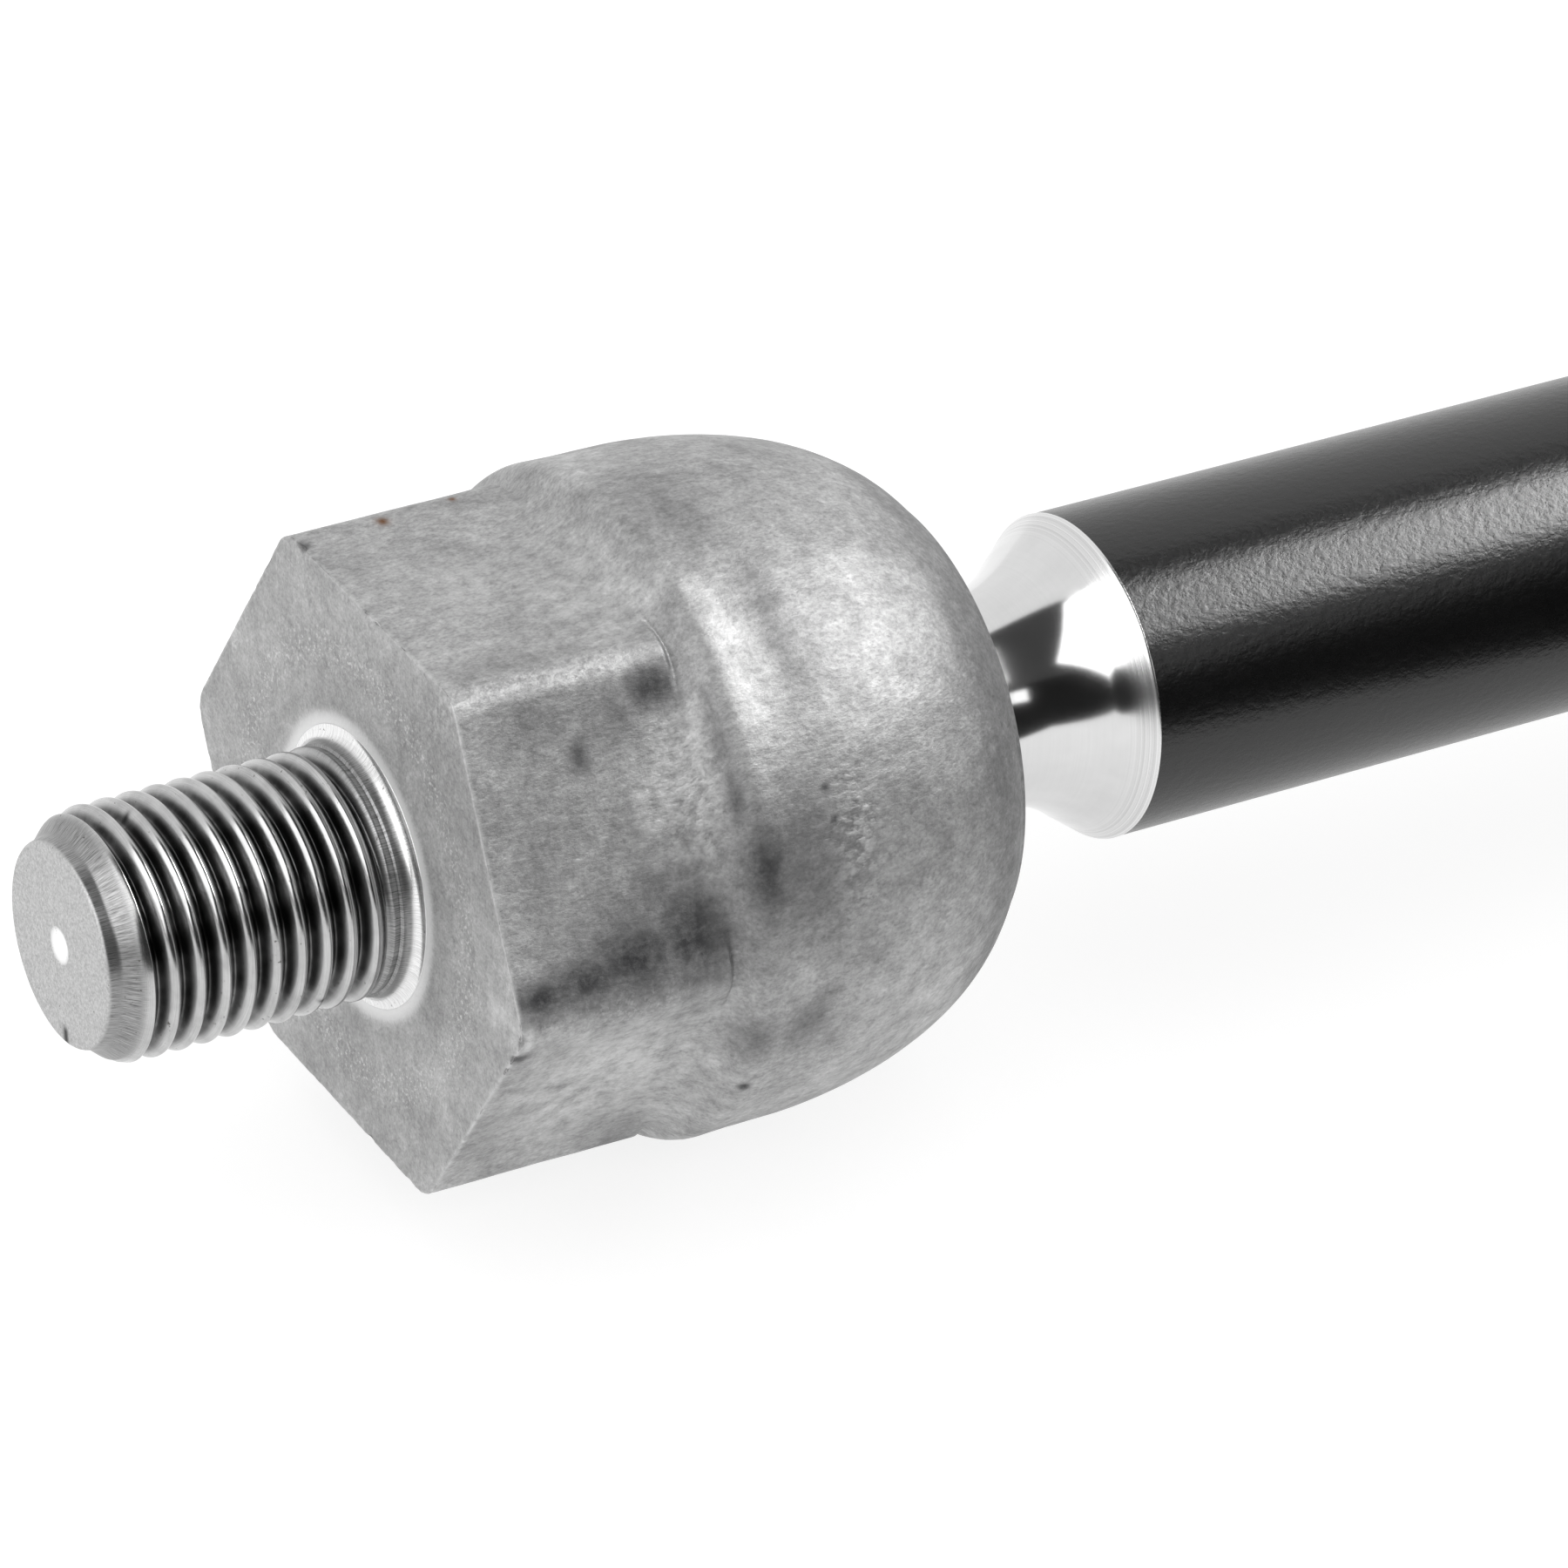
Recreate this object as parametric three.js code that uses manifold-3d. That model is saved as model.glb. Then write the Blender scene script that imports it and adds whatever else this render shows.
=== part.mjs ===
// Axial ball joint of a car's steering rack (inner tie rod), in millimetres, +Z up.
// The axis of the joint runs along X. X = 0 is the shoulder face of the hexagon, which
// seats on the steering rack: the rack stud points along -X and the tie rod along +X.
import * as THREE from "three";
import { mergeVertices } from "three/addons/utils/BufferGeometryUtils.js";
import Module from "manifold-3d";

const wasm = await Module();
wasm.setup();

// --- driving dimensions -------------------------------------------------------------

// rack stud, M14 x 1.5
const STUD_LENGTH = 17.7;
const STUD_CREST_R = 6.98;
const STUD_ROOT_R = 6.1;
const STUD_TIP_R = 5.75;
const STUD_PITCH = 1.5;
const STUD_FIRST_CREST = -15;
const STUD_TURNS = 9;
const STUD_RUNOUT_X = -0.9;
const STUD_ROOT_X = 3;
const STUD_FILLET_R = 0.9;

// spanner hexagon, 32 mm across flats, with its flats facing up and down
const HEX_ACROSS_FLATS = 32;
const HEX_CORNER_R = 1.45;
const HEX_END_X = 14.2;

// socket behind the hexagon: a cove, a round shoulder, then a dome that is rolled over
// the ball, whose profile is part of an ellipse
const SOCKET_X = 4.8;
const SOCKET_R = 15;
const COVE_X = 9.2;
const COVE_R = 6;
const COVE_SINK = 0.12;
const COVE_END_X = 14.3;
const SHOULDER_X = 14.7;
const SHOULDER_R = 18.98;
const DOME_X = 19;
const DOME_CENTRE_R = 11;
const DOME_HALF_LENGTH = 15.45;
const DOME_HEIGHT = 7.85;
const DOME_START = 88;
const RIM_X = 34;
const RIM_THROAT_R = 11;
const RIM_SLOPE = 0.2;

// bore that holds the ball, its bearings and its springs
const BORE_R = 13.8;
const BORE_FLOOR_X = 8;
const BORE_END_X = 30.7;
const INSERT_R = 13.6;

// ball pin: ball, neck and collar
const BALL_X = 21.5;
const BALL_R = 11.5;
const BALL_FACE_X = 12.5;
const NECK_R = 5.95;
const NECK_END_X = 38.1;
const FLARE_ARC_R = 7.8;
const FLARE_END = 312;
const COLLAR_R = 9.42;
const COLLAR_X = 45.2;
const COLLAR_ROUND_R = 0.35;
const WELD_X = 46;

// spherical gap between ball and bearings, which the grease fills
const GREASE_INNER_R = 11.65;
const GREASE_OUTER_R = 11.85;
const GREASE_ANGLES = [58, 120];
const SEAT_R = 12.05;

// bearing seats, thrust washer, disc springs and closing ring
const FRONT_SEAT_X = [12.2, 21.1];
const REAR_SEAT_X = [21.3, 28.2];
const WASHER_X = [11.1, 12.1];
const WASHER_HOLE_R = 7.2;
const SPRING_X = [8.1, 9.6];
const SPRING_THICKNESS = 0.85;
const SPRING_CONE = 0.55;
const SPRING_HOLE_R = 6.5;
const SPRING_R = 13.2;
const RING_X = [28.4, 30.5];
const RING_HOLE_R = 10.3;
const RING_CHAMFER = 0.5;

// tie rod
const ROD_R = 9.3;
const ROD_TAPER_X = [196, 199];
const ROD_END_X = 252;
const ROD_THREAD_R = 7.98;
const ROD_TIP_CHAMFER = 1.2;
const CENTRE_HOLE_R = 1.6;
const BELLOWS_X = [112, 118];
const BELLOWS_R = 8.4;
const BELLOWS_CHAMFER = 0.8;
const FLATS_X = [174, 190];
const FLATS_ACROSS = 14;

// jam nut, M16 x 1.5
const NUT_X = [206, 214];
const NUT_ACROSS_FLATS = 24;
const NUT_CORNER_R = 0.6;
const NUT_BORE_R = 8.06;
const NUT_CHAMFER_R = 11.6;
const NUT_CHAMFER = 1;

// facets round a turned piece, and along the round corner of a hexagon
const FACETS = 40;
const STUD_FACETS = 28;
const CORNER_FACETS = 4;

// how far a cutting shape reaches past what it cuts
const OVERRUN = 1;

// --- materials ----------------------------------------------------------------------

function finish(color, roughness, metalness) {
  return new THREE.MeshStandardMaterial({ color, roughness, metalness });
}

const FORGED_STEEL = finish(0x9b9c9c, 0.55, 0.8);
const BRIGHT_STEEL = finish(0xd4d5d6, 0.15, 1);
const BLACK_COATING = finish(0x1a1a1b, 0.4, 0.2);
const PLATED_STEEL = finish(0xb2b09f, 0.35, 0.9);
const SPRING_STEEL = finish(0x63676b, 0.4, 0.9);
const BEARING_PLASTIC = finish(0xe7e2d2, 0.5, 0);
const GREASE = finish(0xb08a3c, 0.3, 0);

// --- shapes -------------------------------------------------------------------------

const degrees = THREE.MathUtils.radToDeg;

// Points of an ellipse in the (x, radius) plane, from one angle to another in degrees,
// measured from +X towards growing radius.
function ellipse(centreX, centreR, alongX, alongR, from, to, steps) {
  return Array.from({ length: steps + 1 }, (_, i) => {
    const a = THREE.MathUtils.degToRad(from + ((to - from) * i) / steps);
    return [centreX + alongX * Math.cos(a), centreR + alongR * Math.sin(a)];
  });
}

function arc(centreX, centreR, radius, from, to, steps) {
  return ellipse(centreX, centreR, radius, radius, from, to, steps);
}

// Turns a profile of [x, radius] points about the X axis. The outside of the profile
// runs towards +X, and a ring's profile is closed.
function turned(profile, facets = FACETS) {
  const points = profile.map(([x, radius]) => new THREE.Vector2(radius, x));
  return new THREE.LatheGeometry(points, facets).rotateZ(-Math.PI / 2);
}

function ring(profile, facets = FACETS) {
  return turned([...profile, profile[0]], facets);
}

// A hexagonal bar along X between two stations, with round corners, flats up and down.
function hexBar(acrossFlats, cornerR, fromX, toX) {
  const centreR = (acrossFlats / 2 - cornerR) / Math.cos(Math.PI / 6);
  const outline = new THREE.Shape();
  for (let corner = 0; corner < 6; corner++) {
    const a = Math.PI / 6 + (corner * Math.PI) / 3;
    const [x, y] = [centreR * Math.cos(a), centreR * Math.sin(a)];
    outline.absarc(x, y, cornerR, a - Math.PI / 6, a + Math.PI / 6, false);
  }
  const depth = toX - fromX;
  const options = { depth, bevelEnabled: false, curveSegments: CORNER_FACETS };
  const bar = new THREE.ExtrudeGeometry(outline, options);
  return bar.rotateY(Math.PI / 2).translate(fromX, 0, 0);
}

function solid(geometry) {
  const bare = geometry.clone();
  bare.deleteAttribute("normal");
  bare.deleteAttribute("uv");
  const merged = mergeVertices(bare, 1e-3);
  const vertProperties = merged.attributes.position.array;
  const triVerts = new Uint32Array(merged.index.array);
  return new wasm.Manifold(new wasm.Mesh({ numProp: 3, vertProperties, triVerts }));
}

function geometryOf(manifold) {
  const mesh = manifold.getMesh();
  const geometry = new THREE.BufferGeometry();
  const position = new THREE.BufferAttribute(mesh.vertProperties, 3);
  geometry.setAttribute("position", position);
  geometry.setIndex(new THREE.BufferAttribute(mesh.triVerts, 1));
  geometry.computeVertexNormals();
  return geometry;
}

// --- pieces -------------------------------------------------------------------------

// Stud, hexagon and socket are one forging. The stud's thread is a row of ring ridges.
function housing() {
  const ridges = [];
  for (let turn = 0; turn < STUD_TURNS; turn++) {
    const crest = STUD_FIRST_CREST + turn * STUD_PITCH;
    ridges.push([crest - STUD_PITCH / 2, STUD_ROOT_R], [crest, STUD_CREST_R]);
  }
  const stud = turned(
    [
      [-STUD_LENGTH, 0],
      [-STUD_LENGTH, STUD_TIP_R],
      ...ridges,
      ...arc(STUD_RUNOUT_X, STUD_CREST_R + STUD_FILLET_R, STUD_FILLET_R, 270, 360, 4),
      [STUD_ROOT_X, STUD_CREST_R + STUD_FILLET_R],
      [STUD_ROOT_X, 0],
    ],
    STUD_FACETS,
  );
  const hexR = HEX_ACROSS_FLATS / 2;
  const coveEnd = 270 + degrees(Math.asin((COVE_END_X - COVE_X) / COVE_R));
  const domeEnd = degrees(Math.acos((RIM_X - DOME_X) / DOME_HALF_LENGTH));
  const dome = [DOME_X, DOME_CENTRE_R, DOME_HALF_LENGTH, DOME_HEIGHT];
  const socket = turned([
    [SOCKET_X, 0],
    [SOCKET_X, SOCKET_R],
    ...arc(COVE_X, hexR - COVE_SINK + COVE_R, COVE_R, 270, coveEnd, 5),
    [SHOULDER_X, SHOULDER_R],
    ...ellipse(...dome, DOME_START, domeEnd, 9),
    [RIM_X, 0],
  ]);
  const outsideX = RIM_X + OVERRUN;
  const bore = turned([
    [BORE_FLOOR_X, 0],
    [BORE_FLOOR_X, BORE_R],
    [BORE_END_X, BORE_R],
    [BORE_END_X, RIM_THROAT_R],
    [outsideX, RIM_THROAT_R + (outsideX - BORE_END_X) * RIM_SLOPE],
    [outsideX, 0],
  ]);
  const hexagon = hexBar(HEX_ACROSS_FLATS, HEX_CORNER_R, 0, HEX_END_X);
  const outside = solid(stud).add(solid(hexagon)).add(solid(socket));
  return geometryOf(outside.subtract(solid(bore)));
}

function ballPin() {
  const ballFace = degrees(Math.acos((BALL_FACE_X - BALL_X) / BALL_R));
  const neckRoot = degrees(Math.asin(NECK_R / BALL_R));
  return turned([
    [BALL_FACE_X, 0],
    ...arc(BALL_X, 0, BALL_R, ballFace, neckRoot, 12),
    ...arc(NECK_END_X, NECK_R + FLARE_ARC_R, FLARE_ARC_R, 270, FLARE_END, 4),
    ...arc(COLLAR_X, COLLAR_R - COLLAR_ROUND_R, COLLAR_ROUND_R, FLARE_END - 180, 70, 3),
    [WELD_X, ROD_R],
    [WELD_X, 0],
  ]);
}

// The inside of a seat is a sphere about the ball's centre.
function seat([fromX, toX]) {
  const angle = (x) => degrees(Math.acos((x - BALL_X) / SEAT_R));
  const bowl = arc(BALL_X, 0, SEAT_R, angle(toX), angle(fromX), 6);
  return ring([[fromX, INSERT_R], [toX, INSERT_R], ...bowl]);
}

function greaseFilm() {
  const [rear, front] = GREASE_ANGLES;
  return ring([
    ...arc(BALL_X, 0, GREASE_OUTER_R, front, rear, 8),
    ...arc(BALL_X, 0, GREASE_INNER_R, rear, front, 8),
  ]);
}

function thrustWasher() {
  const [fromX, toX] = WASHER_X;
  return ring([
    [fromX, WASHER_HOLE_R],
    [fromX, INSERT_R],
    [toX, INSERT_R],
    [toX, WASHER_HOLE_R],
  ]);
}

// A coned disc whose rim lies further along X than its hole, or the other way round.
function discSpring(fromX, rimForward) {
  const rimX = rimForward ? fromX + SPRING_CONE : fromX;
  const holeX = rimForward ? fromX : fromX + SPRING_CONE;
  return ring([
    [holeX, SPRING_HOLE_R],
    [rimX, SPRING_R],
    [rimX + SPRING_THICKNESS, SPRING_R],
    [holeX + SPRING_THICKNESS, SPRING_HOLE_R],
  ]);
}

function closingRing() {
  const [fromX, toX] = RING_X;
  return ring([
    [fromX, RING_HOLE_R],
    [fromX, INSERT_R],
    [toX, INSERT_R],
    [toX, RING_HOLE_R + RING_CHAMFER],
    [toX - RING_CHAMFER, RING_HOLE_R],
  ]);
}

function tieRod() {
  const bar = turned([
    [WELD_X, 0],
    [WELD_X, ROD_R],
    [BELLOWS_X[0], ROD_R],
    [BELLOWS_X[0] + BELLOWS_CHAMFER, BELLOWS_R],
    [BELLOWS_X[1] - BELLOWS_CHAMFER, BELLOWS_R],
    [BELLOWS_X[1], ROD_R],
    [ROD_TAPER_X[0], ROD_R],
    [ROD_TAPER_X[1], ROD_THREAD_R],
    [ROD_END_X - ROD_TIP_CHAMFER, ROD_THREAD_R],
    [ROD_END_X, ROD_THREAD_R - ROD_TIP_CHAMFER],
    [ROD_END_X, CENTRE_HOLE_R],
    [ROD_END_X - CENTRE_HOLE_R, 0],
  ]);
  const [fromX, toX] = FLATS_X;
  const cut = new THREE.BoxGeometry(toX - fromX, 2 * (ROD_R + OVERRUN), ROD_R);
  const height = (FLATS_ACROSS + ROD_R) / 2;
  const middle = (fromX + toX) / 2;
  const above = solid(cut.clone().translate(middle, 0, height));
  const below = solid(cut.clone().translate(middle, 0, -height));
  return geometryOf(solid(bar).subtract(above).subtract(below));
}

function jamNut() {
  const [fromX, toX] = NUT_X;
  const cornerR = NUT_ACROSS_FLATS / Math.sqrt(3) + OVERRUN;
  const chamfered = turned([
    [fromX, 0],
    [fromX, NUT_CHAMFER_R],
    [fromX + NUT_CHAMFER, cornerR],
    [toX - NUT_CHAMFER, cornerR],
    [toX, NUT_CHAMFER_R],
    [toX, 0],
  ]);
  const bore = turned([
    [fromX - 2 * OVERRUN, 0],
    [fromX - 2 * OVERRUN, NUT_BORE_R],
    [toX + 2 * OVERRUN, NUT_BORE_R],
    [toX + 2 * OVERRUN, 0],
  ]);
  const blank = solid(hexBar(NUT_ACROSS_FLATS, NUT_CORNER_R, fromX - OVERRUN, toX + OVERRUN));
  return geometryOf(blank.intersect(solid(chamfered)).subtract(solid(bore)));
}

// --- assembly -----------------------------------------------------------------------

const assembly = new THREE.Group();

function place(name, geometry, material) {
  const mesh = new THREE.Mesh(geometry, material);
  mesh.name = name;
  assembly.add(mesh);
}

place("rack_end_housing", housing(), FORGED_STEEL);
place("disc_spring_front", discSpring(SPRING_X[0], true), SPRING_STEEL);
place("disc_spring_rear", discSpring(SPRING_X[1], false), SPRING_STEEL);
place("thrust_washer", thrustWasher(), SPRING_STEEL);
place("front_bearing_seat", seat(FRONT_SEAT_X), BEARING_PLASTIC);
place("rear_bearing_seat", seat(REAR_SEAT_X), BEARING_PLASTIC);
place("grease_film", greaseFilm(), GREASE);
place("closing_ring", closingRing(), SPRING_STEEL);
place("ball_pin", ballPin(), BRIGHT_STEEL);
place("tie_rod", tieRod(), BLACK_COATING);
place("jam_nut", jamNut(), PLATED_STEEL);

export default assembly;
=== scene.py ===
"""Axial ball joint of a steering rack: fine surfaces, materials, light and camera.

Profiles are in millimetres, as pairs of (x, radius) about the joint's axis, which is the
frame's X axis. Blender gets them in metres.
"""

import math

import bmesh
import bpy
import numpy as np
from mathutils import Matrix, Vector, noise


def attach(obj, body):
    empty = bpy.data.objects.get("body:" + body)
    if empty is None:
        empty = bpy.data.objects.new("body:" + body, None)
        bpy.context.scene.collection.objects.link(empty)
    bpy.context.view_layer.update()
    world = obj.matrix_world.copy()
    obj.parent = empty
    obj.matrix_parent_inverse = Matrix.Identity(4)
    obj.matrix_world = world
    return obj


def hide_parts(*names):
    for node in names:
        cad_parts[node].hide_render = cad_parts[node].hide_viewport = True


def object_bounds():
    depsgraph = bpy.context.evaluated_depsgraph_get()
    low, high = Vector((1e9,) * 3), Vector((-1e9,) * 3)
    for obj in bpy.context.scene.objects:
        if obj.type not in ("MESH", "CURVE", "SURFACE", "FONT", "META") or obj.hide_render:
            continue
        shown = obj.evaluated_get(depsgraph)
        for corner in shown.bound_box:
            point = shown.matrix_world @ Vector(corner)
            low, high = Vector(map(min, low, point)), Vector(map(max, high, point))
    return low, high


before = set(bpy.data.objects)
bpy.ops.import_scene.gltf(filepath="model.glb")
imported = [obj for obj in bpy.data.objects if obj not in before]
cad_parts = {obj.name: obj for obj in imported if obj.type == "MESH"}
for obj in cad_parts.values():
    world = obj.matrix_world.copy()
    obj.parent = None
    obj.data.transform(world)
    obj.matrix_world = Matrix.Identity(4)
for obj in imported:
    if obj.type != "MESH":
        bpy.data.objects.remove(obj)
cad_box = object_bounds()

MM = 0.001
TURN = 2 * math.pi
TINY = 1e-6

# --- dimensions, in millimetres, as the frame has them ----------------------------------

STUD_LENGTH = 17.7
STUD_MAJOR_R = 6.98
STUD_PITCH = 1.5
STUD_RUNOUT_X = -0.9
STUD_FILLET_R = 0.88
STUD_CREST_X = -15.0
STUD_BASE_R = STUD_MAJOR_R + STUD_FILLET_R

HEX_APOTHEM = 16.0
HEX_CORNER_R = 2.1
HEX_END_X = 14.2
HEX_EDGE_R = 0.14

COVE_X, COVE_R = 9.0, 6.2
COVE_TURN = 50
SHOULDER_X, SHOULDER_R = 14.39, 18.97
DOME_X, DOME_CENTRE_R, DOME_HALF_LENGTH, DOME_HEIGHT = 19.0, 11.0, 15.45, 7.85
RIM_X = 34.0
RIM_THROAT_R, RIM_MOUTH_R = 11.0, 11.66
BORE_R, BORE_FLOOR_X, BORE_END_X = 13.8, 8.0, 30.7
INSERT_R = 13.6

BALL_X, BALL_R, BALL_FACE_X = 21.5, 11.5, 12.5
NECK_R, NECK_END_X, FLARE_ARC_R, FLARE_END = 5.95, 38.1, 7.8, 312
COLLAR_X, COLLAR_R, COLLAR_ROUND_R = 45.2, 9.32, 0.2
COAT_X = 45.22
SEAT_R = 12.05
FRONT_SEAT_X, REAR_SEAT_X = (12.2, 21.1), (21.3, 28.2)
GREASE_R, GREASE_DEGREES = (11.66, 11.84), (59, 119)

ROD_R, ROD_END_X, ROD_THREAD_R = 9.29, 252.0, 7.98
ROD_TAPER_X = (196.0, 199.0)
ROD_PITCH = 1.5
BELLOWS_X, BELLOWS_R, BELLOWS_CHAMFER = (112.0, 118.0), 8.4, 0.8
FLATS_X, FLATS_HALF = (174.0, 190.0), 7.0

NUT_X = (206.0, 214.0)
NUT_APOTHEM, NUT_CORNER_R, NUT_BORE_R, NUT_FACE_R = 12.0, 0.6, 8.06, 11.6
NUT_WIDEST_R, NUT_CHAMFER, NUT_MOUTH_R = 13.9, 1.35, 8.7

# camera and studio: the camera's place is in mm, the studio's centre in metres
CAMERA_AT = (-207.4, -364.7, 275.1)
CAMERA_FORWARD, CAMERA_UP = (0.4552, 0.7089, -0.5388), (0.2308, 0.4904, 0.8403)
CAMERA_LENS, CAMERA_SENSOR = 215.2, 36
FLOOR_GAP = 0.05
FLOOR_HALF_SIDE = 6.0
STUDIO_CENTRE = Vector((0.03, 0, 0))

# --- profiles ---------------------------------------------------------------------------


def ellipse(centre_x, centre_r, along_x, along_r, start, end, steps):
    """Points of an ellipse, its angles in degrees from +X towards growing radius."""
    turns = np.radians(np.linspace(start, end, steps + 1))
    return [(centre_x + along_x * math.cos(a), centre_r + along_r * math.sin(a)) for a in turns]


def arc(centre_x, centre_r, radius, start, end, steps):
    return ellipse(centre_x, centre_r, radius, radius, start, end, steps)


def rounded(corners, closed=False, steps=5):
    """A polyline through corners given as (x, radius) or (x, radius, fillet)."""
    points = []
    count = len(corners)
    for i, corner in enumerate(corners):
        here = Vector(corner[:2])
        fillet = corner[2] if len(corner) > 2 else 0
        at_end = not closed and i in (0, count - 1)
        if not fillet or at_end:
            points.append(tuple(here))
            continue
        back = (Vector(corners[i - 1][:2]) - here).normalized()
        ahead = (Vector(corners[(i + 1) % count][:2]) - here).normalized()
        half = back.angle(ahead) / 2
        centre = here + (back + ahead).normalized() * fillet / math.sin(half)
        reach = fillet / math.tan(half)
        first = here + back * reach - centre
        sweep = first.angle_signed(here + ahead * reach - centre)
        for step in range(steps + 1):
            points.append(tuple(centre + Matrix.Rotation(-sweep * step / steps, 2) @ first))
    return points


def refined(points, longest, closed=False):
    """The same polyline with no two points further apart than longest."""
    ends = points[1:] + points[:1] if closed else points[1:]
    fine = []
    for a, b in zip(points, ends):
        pieces = max(1, math.ceil(math.dist(a, b) / longest))
        fine += [(a[0] + (b[0] - a[0]) * k / pieces, a[1] + (b[1] - a[1]) * k / pieces)
                 for k in range(pieces)]
    return fine if closed else fine + [points[-1]]


def hex_radius(theta, apothem, corner_r):
    """Polar radius of a hexagon with round corners, whose flats face up and down."""
    from_flat = np.abs((theta - math.pi / 2 + math.pi / 6) % (math.pi / 3) - math.pi / 6)
    from_corner = math.pi / 6 - from_flat
    centre = (apothem - corner_r) / math.cos(math.pi / 6)
    tangent = math.atan2(corner_r * 0.5, centre + corner_r * math.cos(math.pi / 6))
    inside = np.maximum(corner_r**2 - (centre * np.sin(from_corner)) ** 2, 0)
    round_part = centre * np.cos(from_corner) + np.sqrt(inside)
    return np.where(from_corner < tangent, round_part, apothem / np.cos(from_flat))


def smooth_max(a, b, blend):
    return (a + b + np.sqrt((a - b) ** 2 + blend**2)) / 2


def thread_wave(phase, depth, sharpness):
    """Depth below the crest, in mm, at a phase in turns: round ridges, narrow grooves."""
    return depth * (1 - (0.5 + 0.5 * np.cos(TURN * phase)) ** sharpness)


# --- meshes -----------------------------------------------------------------------------


def angles(segments):
    return np.arange(segments) * TURN / segments


def ring_mesh(name, x, radius, closed=False):
    """A surface of rings about the X axis. x and radius hold one row for each ring, in
    mm, and one column for each angle."""
    rings, segments = radius.shape
    theta = angles(segments)
    x = np.broadcast_to(x, radius.shape)
    points = np.stack([x, radius * np.cos(theta), radius * np.sin(theta)], axis=-1)
    ring = np.arange(rings if closed else rings - 1)[:, None]
    column = np.arange(segments)[None, :]
    after, beside = (ring + 1) % rings, (column + 1) % segments
    corners = [after * segments + column, after * segments + beside,
               ring * segments + beside, ring * segments + column]
    faces = np.stack(corners, axis=-1).reshape(-1, 4)
    mesh = bpy.data.meshes.new(name)
    mesh.from_pydata((points.reshape(-1, 3) * MM).tolist(), [], faces.tolist())
    joined = bmesh.new()
    joined.from_mesh(mesh)
    bmesh.ops.remove_doubles(joined, verts=joined.verts, dist=1e-8)
    joined.to_mesh(mesh)
    joined.free()
    mesh.shade_smooth()
    piece = bpy.data.objects.new(name, mesh)
    bpy.context.scene.collection.objects.link(piece)
    return piece


def turned(name, profile, segments=256, closed=False):
    """A turned piece, from its profile."""
    x, radius = np.array(profile).T
    return ring_mesh(name, x[:, None], np.repeat(radius[:, None], segments, axis=1), closed)


def coordinates(piece):
    """Vertices in mm, as rows of x, y and z."""
    flat = np.empty(len(piece.data.vertices) * 3)
    piece.data.vertices.foreach_get("co", flat)
    return flat.reshape(-1, 3) / MM


def polar(points):
    """Angle about the X axis from +Y, and distance from the axis in mm, of each point."""
    return np.arctan2(points[:, 2], points[:, 1]), np.hypot(points[:, 1], points[:, 2])


def set_coordinates(piece, points):
    piece.data.vertices.foreach_set("co", (points * MM).ravel())
    piece.data.update()


def add_mask(piece, name, values):
    """A number at each vertex, from 0 to 1, which the material reads."""
    mask = piece.data.attributes.new(name, "FLOAT", "POINT")
    mask.data.foreach_set("value", np.clip(values, 0, 1))


def noise_at(points, size, seed):
    """Smooth noise from -1 to 1 whose lumps are about size mm across."""
    offset = Vector((seed * 17.3, seed * 5.1, seed * 11.7))
    return np.array([noise.noise(Vector(p) / size + offset) for p in points])


def smooth_step(low, high, value):
    """0 at low and 1 at high, with no corner. High may be the smaller of the two."""
    t = np.clip((value - low) / (high - low), 0, 1)
    return t * t * (3 - 2 * t)


def bell(value, centre, half_width):
    """1 at the centre, falling smoothly to nothing."""
    return np.exp(-(((value - centre) / half_width) ** 2))


def distance_on_surface(points, x, degrees):
    """Distances along X and round the axis, in mm, from a spot on the surface."""
    theta, radius = polar(points)
    swing = (theta - math.radians(degrees) + math.pi) % TURN - math.pi
    return points[:, 0] - x, swing * radius


def soft_spots(points, spots):
    """The strongest spot at each point. A spot is x and angle in degrees, then half-length
    and half-width in mm, then strength."""
    strongest = np.zeros(len(points))
    for x, degrees, half_length, half_width, strength in spots:
        along, across = distance_on_surface(points, x, degrees)
        fall = bell(along, 0, half_length) * bell(across, 0, half_width)
        strongest = np.maximum(strongest, strength * fall)
    return strongest


def finished(piece, material, body, slot, *nodes):
    """Gives a piece its material and its body, and hides the CAD nodes it stands for. The slot is not
    used.
    """
    piece.data.materials.append(material)
    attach(piece, body)
    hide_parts(*nodes)
    return piece


# --- materials --------------------------------------------------------------------------


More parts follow.
